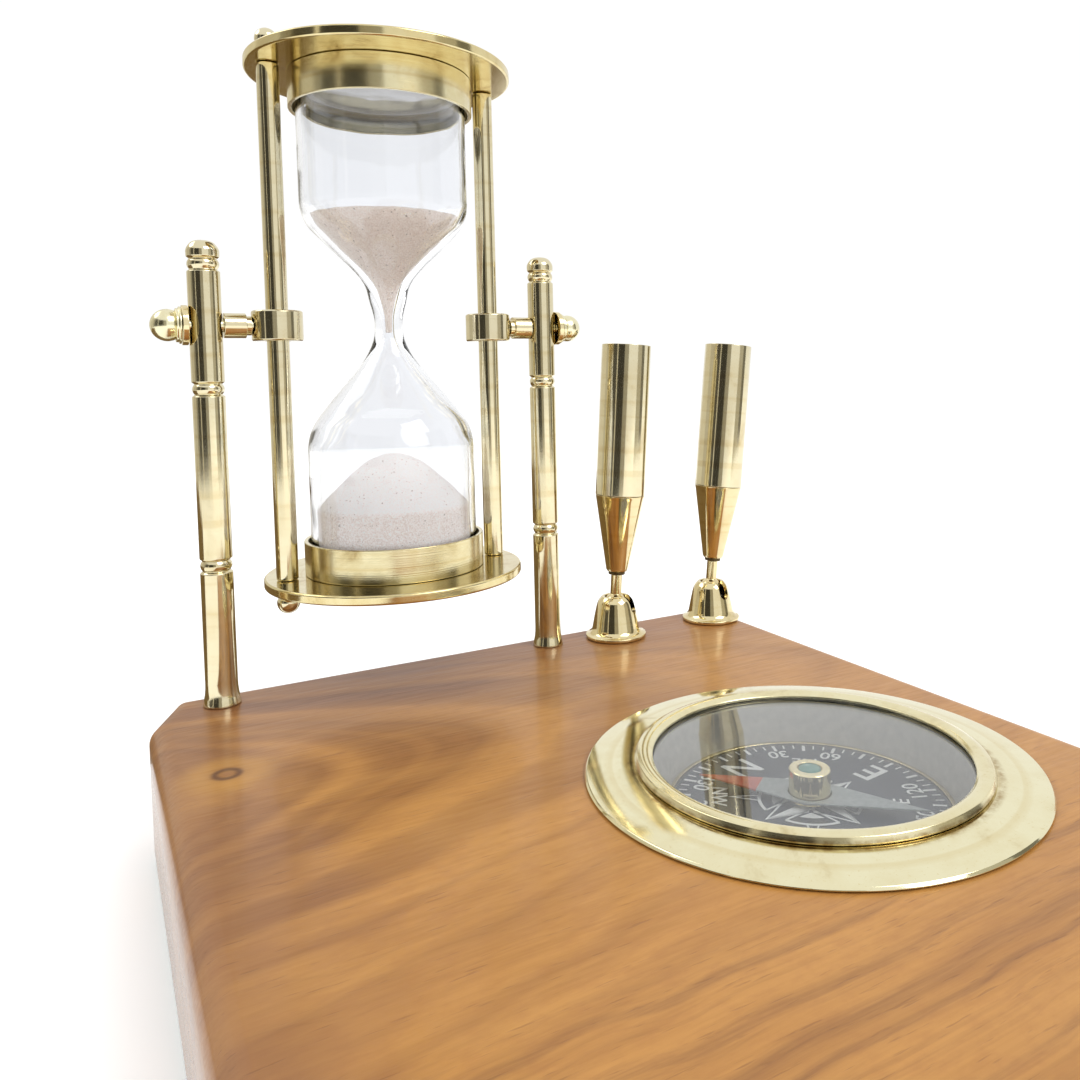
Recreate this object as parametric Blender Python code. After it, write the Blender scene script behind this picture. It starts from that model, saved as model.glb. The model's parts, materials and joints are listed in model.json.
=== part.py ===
"""Brass desk set on a wooden base: a swinging hourglass, an inset compass and two swivelling pen holders."""

from math import acos, cos, pi, radians, sin

import bmesh
import bpy
from mathutils import Matrix, Vector

MM = 0.001

# Driving dimensions, in millimetres. X runs to the right, Y to the back and Z up; the underside is at Z 0.
BASE_WIDTH = 154.0
BASE_DEPTH = 180.0
BASE_TOP = 29.0
FELT_THICKNESS = 1.5
CORNER_CUT_X = 6.0
CORNER_CUT_Y = 15.0
EDGE_ROUND = 4.2
SEAT_GAP = 0.1

POST_Y = 81.0
POST_LEFT_X = -62.0
POST_SPACING = 80.0
POST_RADIUS = 3.35
POST_HEIGHT = 102.4
PIVOT_HEIGHT = 84.0
PIVOT_SHAFT_RADIUS = 1.4
PIVOT_HOLE_RADIUS = 1.7

ROD_OFFSET = 25.2
ROD_RADIUS = 2.4
STUD_RADIUS = 1.3
DISC_RADIUS = 30.0
DISC_INNER_Z = 58.0
DISC_THICKNESS = 2.2
COLLAR_RADIUS = 20.9
COLLAR_WALL = 0.9
COLLAR_HEIGHT = 7.8
CLAMP_RADIUS = 5.5
CLAMP_HEIGHT = 6.8
BULB_RADIUS = 19.3
BULB_END_Z = 55.5
GLASS_WALL = 1.2
FILL_HOLE_RADIUS = 3.0
WAIST_RADIUS = 3.2
WAIST_BORE = 1.0
SAND_LEVEL = 26.0
HEAP_EDGE = -42.7
HEAP_PEAK = -30.2

# The blown glass, waist to shoulder, as (radius, distance from the waist). Its halves differ a little.
OUTER_UPPER = ((3.3, 2.2), (4.2, 5.8), (5.3, 10.0), (8.8, 14.5), (12.5, 18.0), (16.0, 21.6), (18.0, 24.0))
OUTER_LOWER = ((3.6, 3.1), (5.6, 7.4), (8.8, 11.7), (12.4, 16.0), (16.0, 20.3), (18.2, 23.8))
BORE_UPPER = ((1.1, 2.6), (1.8, 6.0), (3.6, 10.6), (7.4, 15.2), (11.1, 18.9), (14.6, 22.5), (16.8, 25.2))
BORE_LOWER = ((1.3, 3.3), (3.9, 8.2), (7.3, 12.6), (11.0, 17.0), (14.6, 21.3), (16.9, 25.0))
SHOULDER = 28.8

COMPASS_X = 25.5
COMPASS_Y = -14.5
FLANGE_RADIUS = 41.1
BEZEL_RADIUS = 32.0
WINDOW_RADIUS = 28.6
HOUSING_RADIUS = 29.9
DIAL_RADIUS = 25.0
DIAL_TOP = -7.0
NEEDLE_REACH = 21.4
NEEDLE_BEARING = 127.0

PEN_TUBE_RADIUS = 6.7
PEN_TUBE_BORE = 5.7
PEN_TUBE_TOP = 79.6
PEN_JOINT = 38.8
PEN_CONE_BOTTOM = 18.0
PEN_BALL_CENTRE = 9.0
PEN_BALL_RADIUS = 3.1
BELL_RADIUS = 8.2
BELL_TOP = 11.2

# Each pen holder: its number, X, Y, lean to the right and the direction of its bell's slot, in degrees.
PEN_HOLDERS = (
    (1, 36.8, 77.5, 4.0, -47.0),
    (2, 68.4, 77.3, 6.0, -75.0),
)

PIVOT = Vector((POST_LEFT_X + POST_SPACING / 2, POST_Y, BASE_TOP + PIVOT_HEIGHT))

# Finish name: base colour, metallic, roughness.
FINISHES = {
    "brass": ((0.78, 0.62, 0.30), 1.0, 0.22),
    "dark_brass": ((0.20, 0.15, 0.08), 1.0, 0.45),
    "wood": ((0.45, 0.22, 0.09), 0.0, 0.25),
    "felt": ((0.03, 0.08, 0.04), 0.0, 0.95),
    "glass": ((0.95, 0.97, 0.97), 0.0, 0.03),
    "sand": ((0.80, 0.66, 0.60), 0.0, 0.90),
    "cork": ((0.62, 0.44, 0.28), 0.0, 0.85),
    "cushion": ((0.88, 0.86, 0.82), 0.0, 0.90),
    "steel": ((0.60, 0.60, 0.62), 1.0, 0.35),
    "dial_black": ((0.02, 0.02, 0.03), 0.0, 0.50),
    "housing_paint": ((0.30, 0.29, 0.27), 0.0, 0.60),
    "needle_paint": ((0.55, 0.56, 0.55), 0.3, 0.40),
    "jewel_green": ((0.10, 0.32, 0.24), 0.0, 0.25),
    "gasket_rubber": ((0.03, 0.03, 0.03), 0.0, 0.80),
}


def material(finish):
    found = bpy.data.materials.get(finish)
    if found:
        return found
    colour, metallic, roughness = FINISHES[finish]
    made = bpy.data.materials.new(finish)
    made.use_nodes = True
    shader = made.node_tree.nodes["Principled BSDF"]
    shader.inputs["Base Color"].default_value = (*colour, 1.0)
    shader.inputs["Metallic"].default_value = metallic
    shader.inputs["Roughness"].default_value = roughness
    made.diffuse_color = (*colour, 1.0)
    return made


def empty(name, place, parent=None, turn=None):
    """An empty at a place in millimetres, on the axis that its children turn about."""
    made = bpy.data.objects.new(name, None)
    bpy.context.scene.collection.objects.link(made)
    made.location = Vector(place) * MM
    if turn:
        made.rotation_euler = turn
    made.parent = parent
    return made


def from_bmesh(name, shape, finish, parent=None, place=(0, 0, 0), turn=None):
    """The object made from a bmesh in millimetres, scaled to metres."""
    bmesh.ops.remove_doubles(shape, verts=shape.verts, dist=1e-5)
    bmesh.ops.scale(shape, vec=(MM, MM, MM), verts=shape.verts)
    bmesh.ops.recalc_face_normals(shape, faces=shape.faces)
    mesh = bpy.data.meshes.new(name)
    shape.to_mesh(mesh)
    shape.free()
    mesh.materials.append(material(finish))
    made = bpy.data.objects.new(name, mesh)
    bpy.context.scene.collection.objects.link(made)
    made.location = Vector(place) * MM
    if turn:
        made.rotation_euler = turn
    made.parent = parent
    return made


def turned_shape(points, segments=24, ring=False):
    """A profile of (radius, height) points spun about Z. A ring's last point joins its first one."""
    shape = bmesh.new()
    made = [shape.verts.new((radius, 0, height)) for radius, height in points]
    pairs = list(zip(made, made[1:]))
    if ring:
        pairs.append((made[-1], made[0]))
    edges = [shape.edges.new(pair) for pair in pairs]
    bmesh.ops.spin(
        shape,
        geom=made + edges,
        cent=(0, 0, 0),
        axis=(0, 0, 1),
        angle=2 * pi,
        steps=segments,
        use_merge=True,
    )
    return shape


def turned(name, points, finish, segments=24, ring=False, **where):
    return from_bmesh(name, turned_shape(points, segments, ring), finish, **where)


def tube(name, outer, inner, low, high, finish, segments=24, **where):
    """A plain ring or sleeve between two radii and two heights."""
    points = [(outer, low), (outer, high), (inner, high), (inner, low)]
    return turned(name, points, finish, segments, ring=True, **where)


def arc(radius, centre_radius, centre_z, start, end, steps):
    """Points along a round stretch of a profile, from one angle to another, in degrees from outwards."""
    angles = [radians(start + (end - start) * i / steps) for i in range(steps + 1)]
    return [(centre_radius + radius * cos(a), centre_z + radius * sin(a)) for a in angles]


def cutter(name, shape, parent=None, place=(0, 0, 0), turn=None):
    """A hidden object that a Boolean takes away from another."""
    made = from_bmesh(name, shape, "steel", parent, place, turn)
    made.hide_render = True
    made.display_type = "WIRE"
    return made


def rod_shape(radius, low, high, segments=20):
    return turned_shape([(0, low), (radius, low), (radius, high), (0, high)], segments)


def cut(target, tool):
    modifier = target.modifiers.new("cut_" + tool.name, "BOOLEAN")
    modifier.operation = "DIFFERENCE"
    modifier.solver = "EXACT"
    modifier.object = tool


# The base.


def base_outline():
    """The base's outline seen from above, with its four corners cut off."""
    x, y = BASE_WIDTH / 2, BASE_DEPTH / 2
    quarter = [(x, y - CORNER_CUT_Y), (x - CORNER_CUT_X, y)]
    left_back = [(-a, b) for a, b in reversed(quarter)]
    back = quarter + left_back
    return back + [(-a, -b) for a, b in back]


def slab_shape(outline, low, high):
    shape = bmesh.new()
    bottom = shape.faces.new([shape.verts.new((x, y, low)) for x, y in outline])
    top = bmesh.ops.extrude_face_region(shape, geom=[bottom])["geom"]
    raised = [v for v in top if isinstance(v, bmesh.types.BMVert)]
    bmesh.ops.translate(shape, vec=(0, 0, high - low), verts=raised)
    return shape


def post_places():
    """Each post's name and place on the base."""
    return [("left", POST_LEFT_X, POST_Y), ("right", POST_LEFT_X + POST_SPACING, POST_Y)]


def make_base():
    low = FELT_THICKNESS + SEAT_GAP
    shape = slab_shape(base_outline(), low, BASE_TOP)
    top_edges = [e for e in shape.edges if all(abs(v.co.z - BASE_TOP) < 1e-4 for v in e.verts)]
    bmesh.ops.bevel(shape, geom=top_edges, offset=EDGE_ROUND, segments=4, profile=0.5, affect="EDGES")
    base = from_bmesh("wooden_base", shape, "wood")
    pocket = rod_shape(HOUSING_RADIUS + 0.4, BASE_TOP - 9.4, BASE_TOP + 5, 36)
    cut(base, cutter("compass_pocket", pocket, place=(COMPASS_X, COMPASS_Y, 0)))
    for side, x, y in post_places():
        shank = rod_shape(2.2, low - 1, BASE_TOP + 5, 16)
        cut(base, cutter("post_hole_" + side, shank, place=(x, y, 0)))
        head = rod_shape(4.3, low - 1, low + 4.0, 20)
        cut(base, cutter("post_counterbore_" + side, head, place=(x, y, 0)))
    for number, x, y, _, _ in PEN_HOLDERS:
        pilot = rod_shape(1.5, BASE_TOP - 12.5, BASE_TOP + 5, 12)
        cut(base, cutter(f"bell_pilot_{number}", pilot, place=(x, y, 0)))
    from_bmesh("felt_underlay", slab_shape(base_outline(), 0, FELT_THICKNESS), "felt")


# The posts.


def bead(height):
    """A round bead between two V grooves, centred at a height on the post."""
    groove, crest = POST_RADIUS - 0.55, POST_RADIUS - 0.1
    rounded = [(groove, -1.15), (crest - 0.12, -0.6), (crest, 0), (crest - 0.12, 0.6), (groove, 1.15)]
    points = [(POST_RADIUS, -1.6)] + rounded + [(POST_RADIUS, 1.6)]
    return [(radius, height + z) for radius, z in points]


def post_profile():
    """The post's outer side from its foot to its domed top, heights above the base."""
    foot = [(4.0, SEAT_GAP), (3.85, 0.9), (3.5, 2.6), (POST_RADIUS, 5.0)]
    dome = [(POST_RADIUS, 100.2), (3.0, 101.0), (2.2, 101.9), (1.1, 102.3), (0, POST_HEIGHT)]
    socket = [(0, 9.0), (1.95, 9.0), (1.95, SEAT_GAP)]
    return socket + foot + bead(31.3) + bead(70.1) + bead(97.2) + dome


def make_posts():
    for side, x, y in post_places():
        post = turned("post_" + side, post_profile(), "brass", 18, place=(x, y, BASE_TOP))
        bore = rod_shape(PIVOT_HOLE_RADIUS, -8, 8, 12)
        cut(post, cutter("pivot_bore_" + side, bore, place=(x, y, PIVOT.z), turn=(0, pi / 2, 0)))
        low = FELT_THICKNESS + SEAT_GAP + 1.2
        head = [(0, low), (3.2, low), (3.6, low + 0.6), (3.6, low + 2.4)]
        shank = [(1.65, low + 2.4), (1.65, BASE_TOP + 8.0), (0, BASE_TOP + 8.0)]
        turned("post_screw_" + side, head + shank, "steel", 16, place=(x, y, 0))


# The hourglass. Its heights are measured from the pivot, where every piece's parent empty is.


def bulb_end(radius, end_z, corner):
    """The straight side's end, the round corner and the flat end of a bulb."""
    return [(radius, end_z - corner)] + arc(corner, radius - corner, end_z - corner, 30, 90, 2)


def bore_side(curve):
    """One half of the bore, from the waist to the middle of the bulb's end."""
    radius = BULB_RADIUS - GLASS_WALL
    end = bulb_end(radius, BULB_END_Z - GLASS_WALL, 3.3)
    return [(WAIST_BORE, 0)] + list(curve) + [(radius, SHOULDER)] + end


def bore_radius(points, height):
    """The bore's radius at a height from the waist."""
    for (r0, z0), (r1, z1) in zip(points, points[1:]):
        if z0 <= height <= z1:
            return r0 + (r1 - r0) * (height - z0) / (z1 - z0)
    return points[-1][0]


def below(points):
    """The same points on the other side of the waist, in the opposite order."""
    return [(radius, -height) for radius, height in reversed(points)]


def make_glass(frame):
    end = [(BULB_RADIUS, SHOULDER)] + bulb_end(BULB_RADIUS, BULB_END_Z, 4.5)
    upper = [(WAIST_RADIUS, 0)] + list(OUTER_UPPER) + end + [(0, BULB_END_Z)]
    lower = list(OUTER_LOWER) + end
    hole = [(FILL_HOLE_RADIUS, -BULB_END_Z), (FILL_HOLE_RADIUS, GLASS_WALL - BULB_END_Z)]
    outside = upper[::-1] + below(lower)[::-1]
    bore = below(bore_side(BORE_LOWER)[1:]) + bore_side(BORE_UPPER) + [(0, BULB_END_Z - GLASS_WALL)]
    turned("glass_vial", outside + hole + bore, "glass", 24, parent=frame)
    plug = [(0, -56.3), (3.8, -56.3), (3.8, -55.65), (2.7, -55.65), (2.4, -52.4), (0, -52.4)]
    turned("glass_plug", plug, "cork", 14, parent=frame)


def make_sand(frame):
    """The sand left in the upper bulb, down to the waist, and the heap in the lower one."""
    clear = 0.25
    bore = bore_side(BORE_UPPER)
    levels = [height for _, height in BORE_UPPER] + [SAND_LEVEL]
    funnel = [(bore_radius(bore, z) - clear, z) for z in levels]
    thread = [(0, -1.4), (WAIST_BORE - clear, -1.4)]
    surface = [(0.55 * funnel[-1][0], SAND_LEVEL - 0.7), (0, SAND_LEVEL - 1.8)]
    turned("sand_upper", thread + funnel + surface, "sand", 18, parent=frame)
    wall = BULB_RADIUS - GLASS_WALL - clear
    floor = GLASS_WALL + clear - BULB_END_Z
    around_plug = [(0, floor + 2.4), (3.3, floor + 2.4), (3.3, floor)]
    side = [(wall - 3.2, floor), (wall, floor + 3.2), (wall, HEAP_EDGE)]
    heap = [(9.0, HEAP_PEAK - 4.0), (5.0, HEAP_PEAK - 1.2), (0, HEAP_PEAK)]
    turned("sand_lower", around_plug + side + heap, "sand", 18, parent=frame)


def disc_with_holes(name, low, frame):
    high = low + DISC_THICKNESS
    edge = [(0, low), (DISC_RADIUS - 0.3, low), (DISC_RADIUS, low + 0.3)]
    rim = [(DISC_RADIUS, high - 0.3), (DISC_RADIUS - 0.3, high), (0, high)]
    disc = turned(name, edge + rim, "brass", 36, parent=frame)
    for side, sign in (("left", -1), ("right", 1)):
        hole = rod_shape(STUD_RADIUS + 0.3, low - 1, high + 1, 12)
        cut(disc, cutter(f"{name}_hole_{side}", hole, frame, (sign * ROD_OFFSET, 0, 0)))


def make_ends(frame):
    disc_with_holes("disc_top", DISC_INNER_Z, frame)
    disc_with_holes("disc_bottom", -DISC_INNER_Z - DISC_THICKNESS, frame)
    inner = COLLAR_RADIUS - COLLAR_WALL
    seat = DISC_INNER_Z - SEAT_GAP
    tube("collar_top", COLLAR_RADIUS, inner, seat - COLLAR_HEIGHT, seat, "brass", 32, parent=frame)
    tube("collar_bottom", COLLAR_RADIUS, inner, -seat, COLLAR_HEIGHT - seat, "brass", 32, parent=frame)
    pad = inner - 0.4
    low, high = BULB_END_Z + SEAT_GAP, seat - SEAT_GAP
    turned("cushion_top", [(0, low), (pad, low), (pad, high), (0, high)], "cushion", 24, parent=frame)
    tube("cushion_bottom", pad, 4.3, -high, -low, "cushion", 24, parent=frame)


def nut_profile():
    """A ball nut from its seat to its crown, with a blind hole for the stud."""
    hole = [(0, 3.2), (STUD_RADIUS + 0.3, 3.2), (STUD_RADIUS + 0.3, 0)]
    seat = [(2.3, 0), (2.5, 0.5), (2.1, 1.0)]
    return hole + seat + arc(2.5, 0, 2.9, -35, 60, 4) + [(0, 5.4)]


def make_rods(frame):
    seat = DISC_INNER_Z - SEAT_GAP
    stud = DISC_INNER_Z + DISC_THICKNESS + 2.8
    half = [(ROD_RADIUS - 0.2, seat), (ROD_RADIUS, seat - 0.2)]
    side = [(0, stud), (STUD_RADIUS, stud), (STUD_RADIUS, seat)] + half
    profile = side + [(r, -z) for r, z in reversed(side)]
    outer = DISC_INNER_Z + DISC_THICKNESS + SEAT_GAP
    for name, sign in (("left", -1), ("right", 1)):
        x = sign * ROD_OFFSET
        turned("rod_" + name, profile[::-1], "brass", 16, parent=frame, place=(x, 0, 0))
        turned("rod_nut_top_" + name, nut_profile(), "brass", 14, parent=frame, place=(x, 0, outer))
        under = {"place": (x, 0, -outer), "turn": (pi, 0, 0)}
        turned("rod_nut_bottom_" + name, nut_profile(), "brass", 14, parent=frame, **under)


def clamp_profile():
    half = CLAMP_HEIGHT / 2
    bore = ROD_RADIUS + 0.3
    return [
        (bore, -half),
        (CLAMP_RADIUS - 0.3, -half),
        (CLAMP_RADIUS, 0.3 - half),
        (CLAMP_RADIUS, half - 0.3),
        (CLAMP_RADIUS - 0.3, half),
        (bore, half),
    ]


def spacer_profile(reach):
    """A sleeve between the post and the ring clamp, with a groove turned beside the clamp."""
    start, groove, end = POST_RADIUS + 0.2, reach - 1.2, reach - 0.1
    bore = PIVOT_SHAFT_RADIUS + 0.3
    return [(bore, start), (2.75, start), (2.75, groove), (2.15, groove), (2.15, end), (bore, end)]


def screw_profile():
    """The pivot screw from its tip at the rod to its ball knob. Heights are outward from the post's axis."""
    tip = ROD_OFFSET - POST_SPACING / 2 + ROD_RADIUS + 0.35
    radius = PIVOT_SHAFT_RADIUS
    shaft = [(0, tip), (radius - 0.4, tip), (radius, tip + 0.4), (radius, 4.9)]
    flanges = [(4.0, 4.9), (4.0, 5.3), (3.65, 5.4), (3.65, 5.9), (3.0, 6.1)]
    ball_centre, ball = 7.45, 3.45
    crown = arc(ball, 0, ball_centre, -20, 64, 4)
    return shaft + flanges + crown + [(0, ball_centre + ball)]


def make_pivots(frame):
    """What joins the hourglass to each post: a ring clamp, a spacer, a washer and a thumb screw."""
    reach = POST_SPACING / 2 - ROD_OFFSET - CLAMP_RADIUS
    for name, sign in (("left", -1), ("right", 1)):
        outward = (0, sign * pi / 2, 0)
        on_rod = (sign * ROD_OFFSET, 0, 0)
        clamp = turned("ring_clamp_" + name, clamp_profile(), "brass", 22, True, parent=frame, place=on_rod)
        hole = rod_shape(PIVOT_HOLE_RADIUS, 0, 8, 12)
        cut(clamp, cutter("clamp_bore_" + name, hole, frame, on_rod, outward))
        post_x = sign * POST_SPACING / 2
        inward = (0, -sign * pi / 2, 0)
        at_post = {"parent": frame, "place": (post_x, 0, 0)}
        turned("pivot_spacer_" + name, spacer_profile(reach), "brass", 16, True, turn=inward, **at_post)
        washer = (4.3, PIVOT_HOLE_RADIUS, POST_RADIUS + 0.2, 4.75)
        tube("pivot_washer_" + name, *washer, "brass", 20, turn=outward, **at_post)
        knob = empty("thumb_screw_axis_" + name, (post_x, 0, 0), frame)
        turned("thumb_screw_" + name, screw_profile(), "brass", 16, parent=knob, turn=outward)


def make_hourglass():
    frame = empty("hourglass_axis", PIVOT)
    make_glass(frame)
    make_sand(frame)
    make_ends(frame)
    make_rods(frame)
    make_pivots(frame)


# The compass. Its heights are measured from the base's top.


def make_compass_case(centre):
    wall_top, floor = 0.5, -7.8
    cup = [(0, -9.1), (HOUSING_RADIUS - 0.6, -9.1), (HOUSING_RADIUS, -8.5), (HOUSING_RADIUS, wall_top)]
    inside = [(28.3, wall_top), (26.4, floor), (0, floor)]
    turned("compass_housing", cup + inside, "housing_paint", 36, parent=centre)
    tube("compass_gasket", 29.7, 28.5, 0.6, 1.0, "gasket_rubber", 24, parent=centre)
    pane = [(0, 1.1), (29.6, 1.1), (29.6, 2.2), (0, 2.2)]
    turned("compass_glass", pane, "glass", 36, parent=centre)
    inner = HOUSING_RADIUS + 0.4
    plate = [(inner, SEAT_GAP), (FLANGE_RADIUS - 0.3, SEAT_GAP), (FLANGE_RADIUS, 0.4)]
    plate += [(FLANGE_RADIUS - 0.4, 0.9), (BEZEL_RADIUS + 1.0, 1.8), (inner, 1.8)]
    turned("compass_flange", plate, "brass", 40, True, parent=centre)
    lip = [(WINDOW_RADIUS, 2.3), (30.0, 2.3), (30.4, 1.9), (BEZEL_RADIUS - 0.2, 1.9), (BEZEL_RADIUS, 2.3)]
    crown = [(31.5, 3.2), (30.5, 3.5), (29.4, 3.35), (WINDOW_RADIUS, 2.8)]
    turned("compass_bezel", lip + crown, "brass", 36, True, parent=centre)


def make_compass_dial(centre):
    low = DIAL_TOP - 0.6
    face = [(0, low), (DIAL_RADIUS, low), (DIAL_RADIUS, DIAL_TOP), (0, DIAL_TOP)]
    turned("compass_dial", face, "dial_black", 36, parent=centre)
    tube("dial_rim", DIAL_RADIUS + 1.0, DIAL_RADIUS + 0.2, low, DIAL_TOP + 0.3, "brass", 32, parent=centre)
    pin_foot = [(0, -6.9), (1.6, -6.9), (1.6, -6.75), (0.5, -6.7)]
    turned("needle_pin", pin_foot + [(0.5, -4.9), (0, -4.2)], "steel", 12, parent=centre)


def needle_shape(low, high, hole):
    """A lozenge with a round hole in its middle."""
    half_width = 4.85
    steps = 6
    angles = [2 * pi * i / (4 * steps) for i in range(4 * steps)]
    rim = [(hole * cos(a), hole * sin(a)) for a in angles]
    shape = bmesh.new()
    tips = [(NEEDLE_REACH, 0), (0, half_width), (-NEEDLE_REACH, 0), (0, -half_width)]
    outline = []
    for start, end in zip(tips, tips[1:] + tips[:1]):
        outline += [tuple(Vector(start).lerp(Vector(end), i / steps)) for i in range(steps)]
    rows = []
    for points, z in ((outline, low), (outline, high), (rim, high), (rim, low)):
        rows.append([shape.verts.new((x, y, z)) for x, y in points])
    for row, following in zip(rows, rows[1:] + rows[:1]):
        for i, vert in enumerate(row):
            j = (i + 1) % len(row)
            shape.faces.new((vert, row[j], following[j], following[i]))
    return shape


def make_needle(centre):
    axis = empty("needle_axis", (0, 0, 0), centre, (0, 0, radians(NEEDLE_BEARING)))
    from_bmesh("compass_needle", needle_shape(-5.7, -5.3, 4.0), "needle_paint", axis)
    recess = [(0, -1.45), (2.25, -1.45), (2.25, -0.9)]
    side = [(3.6, -0.9), (3.8, -1.1), (3.8, -5.8), (4.5, -5.8), (4.5, -6.15), (3.6, -6.4)]
    socket = [(1.3, -6.4), (1.3, -3.95), (0, -3.95)]
    turned("needle_cap", recess + side + socket, "brass", 18, parent=axis)
    jewel = [(0, -1.35), (2.05, -1.35), (2.05, -1.0), (1.6, -0.85), (0, -0.8)]
    turned("needle_jewel", jewel, "jewel_green", 16, parent=axis)


def make_compass():
    centre = empty("compass_centre", (COMPASS_X, COMPASS_Y, BASE_TOP))
    make_compass_case(centre)
    make_compass_dial(centre)
    make_needle(centre)


# The pen holders. Their heights are measured from the base's top.


def bell_profile():
    rim = [(5.6, SEAT_GAP), (BELL_RADIUS - 0.2, SEAT_GAP), (BELL_RADIUS, 0.4), (BELL_RADIUS, 1.0)]
    side = [(7.3, 1.4), (6.6, 2.2), (6.3, 3.2), (5.2, 8.4), (4.6, 10.1), (3.7, BELL_TOP)]
    mouth = [(2.9, BELL_TOP), (2.9, 10.4)]
    inside = [(3.6, 10.0), (4.2, 8.6), (5.3, 3.0), (5.5, 1.2)]
    return rim + side + mouth + inside


def slot_shape(direction):
    """A round-ended slot through the bell's wall, from its mouth down one side."""
    shape = bmesh.new()
    width, low, high = 3.4, 8.2, BELL_TOP + 2
    arch = [(width / 2 * cos(a), low + width / 2 * sin(a)) for a in (pi + pi * i / 6 for i in range(7))]
    outline = arch + [(width / 2, high), (-width / 2, high)]
    near = shape.faces.new([shape.verts.new((0, y, z)) for y, z in outline])
    far = bmesh.ops.extrude_face_region(shape, geom=[near])["geom"]
    moved = [v for v in far if isinstance(v, bmesh.types.BMVert)]
    bmesh.ops.translate(shape, vec=(12, 0, 0), verts=moved)
    facing = Matrix.Rotation(radians(direction), 3, "Z")
    bmesh.ops.rotate(shape, cent=(0, 0, 0), matrix=facing, verts=shape.verts)
    return shape


def spring_path(radius, low, high, turns, steps):
    path = []
    for i in range(steps + 1):
        angle = 2 * pi * turns * i / steps
        path.append((radius * cos(angle), radius * sin(angle), low + (high - low) * i / steps))
    return path


def make_spring(name, foot):
    """The compression spring under the ball's seat."""
    curve = bpy.data.curves.new(name, "CURVE")
    curve.dimensions = "3D"
    curve.bevel_depth = 0.26 * MM
    curve.bevel_resolution = 1
    curve.use_fill_caps = True
    path = spring_path(2.9, 2.1, 4.4, 2.5, 24)
    spline = curve.splines.new("POLY")
    spline.points.add(len(path) - 1)
    for point, (x, y, z) in zip(spline.points, path):
        point.co = (x * MM, y * MM, z * MM, 1)
    curve.materials.append(material("steel"))
    made = bpy.data.objects.new(name, curve)
    bpy.context.scene.collection.objects.link(made)
    made.parent = foot


def make_bell(number, foot, slot_direction):
    bell = turned(f"swivel_bell_{number}", bell_profile(), "brass", 22, True, parent=foot)
    cut(bell, cutter(f"bell_slot_{number}", slot_shape(slot_direction), foot))
    tube(f"bell_plate_{number}", 5.2, 1.5, SEAT_GAP, 1.5, "brass", 16, parent=foot)
    screw = [(0, -11.5), (1.1, -9.5), (1.1, 1.6), (2.1, 1.6), (2.1, 2.4), (1.5, 2.9), (0, 2.9)]
    turned(f"bell_screw_{number}", screw, "steel", 12, parent=foot)
    make_spring(f"swivel_spring_{number}", foot)


def make_holder(number, foot, lean):
    """The ball, stem, cone and tube of one pen holder, which lean together about the ball's centre."""
    swivel = empty(f"swivel_axis_{number}", (0, 0, PEN_BALL_CENTRE), foot)
    cup = [(0, -4.3), (3.7, -4.3), (3.7, -1.7)]
    hollow = arc(PEN_BALL_RADIUS + 0.15, 0, 0, -32, -70, 3) + [(0, -3.3)]
    turned(f"ball_seat_{number}", cup + hollow, "steel", 14, parent=swivel)
    tilt = empty(f"tilt_axis_{number}", (0, 0, 0), swivel, (0, radians(lean), 0))
    up = PEN_BALL_CENTRE
    stem_radius, stem_start = 1.5, acos(1.5 / PEN_BALL_RADIUS)
    ball = arc(PEN_BALL_RADIUS, 0, 0, -75, stem_start * 180 / pi, 6)
    ring_low = PEN_CONE_BOTTOM - 0.95 - up
    stem = [(stem_radius, ring_low), (1.2, ring_low), (1.2, 23.0 - up), (0, 23.0 - up)]
    turned(f"ball_stem_{number}", [(0, -PEN_BALL_RADIUS)] + ball + stem, "brass", 14, parent=tilt)
    ring = (2.25, 1.4, ring_low + SEAT_GAP, PEN_CONE_BOTTOM - SEAT_GAP - up)
    tube(f"neck_ring_{number}", *ring, "dark_brass", 14, parent=tilt)
    low, joint = PEN_CONE_BOTTOM - up, PEN_JOINT - up
    hole = [(0, 24.0 - up), (1.4, 24.0 - up), (1.4, low)]
    side = [(2.6, low), (2.95, low + 0.6), (PEN_TUBE_RADIUS - 0.25, joint - 1.1), (PEN_TUBE_RADIUS, joint)]
    funnel = [(PEN_TUBE_BORE, joint), (PEN_TUBE_BORE - 0.6, joint - 2.5), (2.0, 27.0 - up), (0, 26.0 - up)]
    turned(f"pen_cone_{number}", hole + side + funnel, "brass", 20, parent=tilt)
    body = (PEN_TUBE_RADIUS, PEN_TUBE_BORE, joint + SEAT_GAP, PEN_TUBE_TOP - up)
    tube(f"pen_tube_{number}", *body, "brass", 24, parent=tilt)


def make_pen_holders():
    for number, x, y, lean, slot_direction in PEN_HOLDERS:
        foot = empty(f"pen_holder_foot_{number}", (x, y, BASE_TOP))
        make_bell(number, foot, slot_direction)
        make_holder(number, foot, lean)


def main():
    for old in list(bpy.data.objects):
        bpy.data.objects.remove(old)
    make_base()
    make_posts()
    make_hourglass()
    make_compass()
    make_pen_holders()


main()
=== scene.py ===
"""Looks of the brass desk set: turned brass, varnished wood, blown glass with sand, and a printed compass."""

import json
from math import ceil, cos, hypot, pi, radians, sin, tan

import bmesh
import bpy
from mathutils import Matrix, Vector, noise

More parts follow.
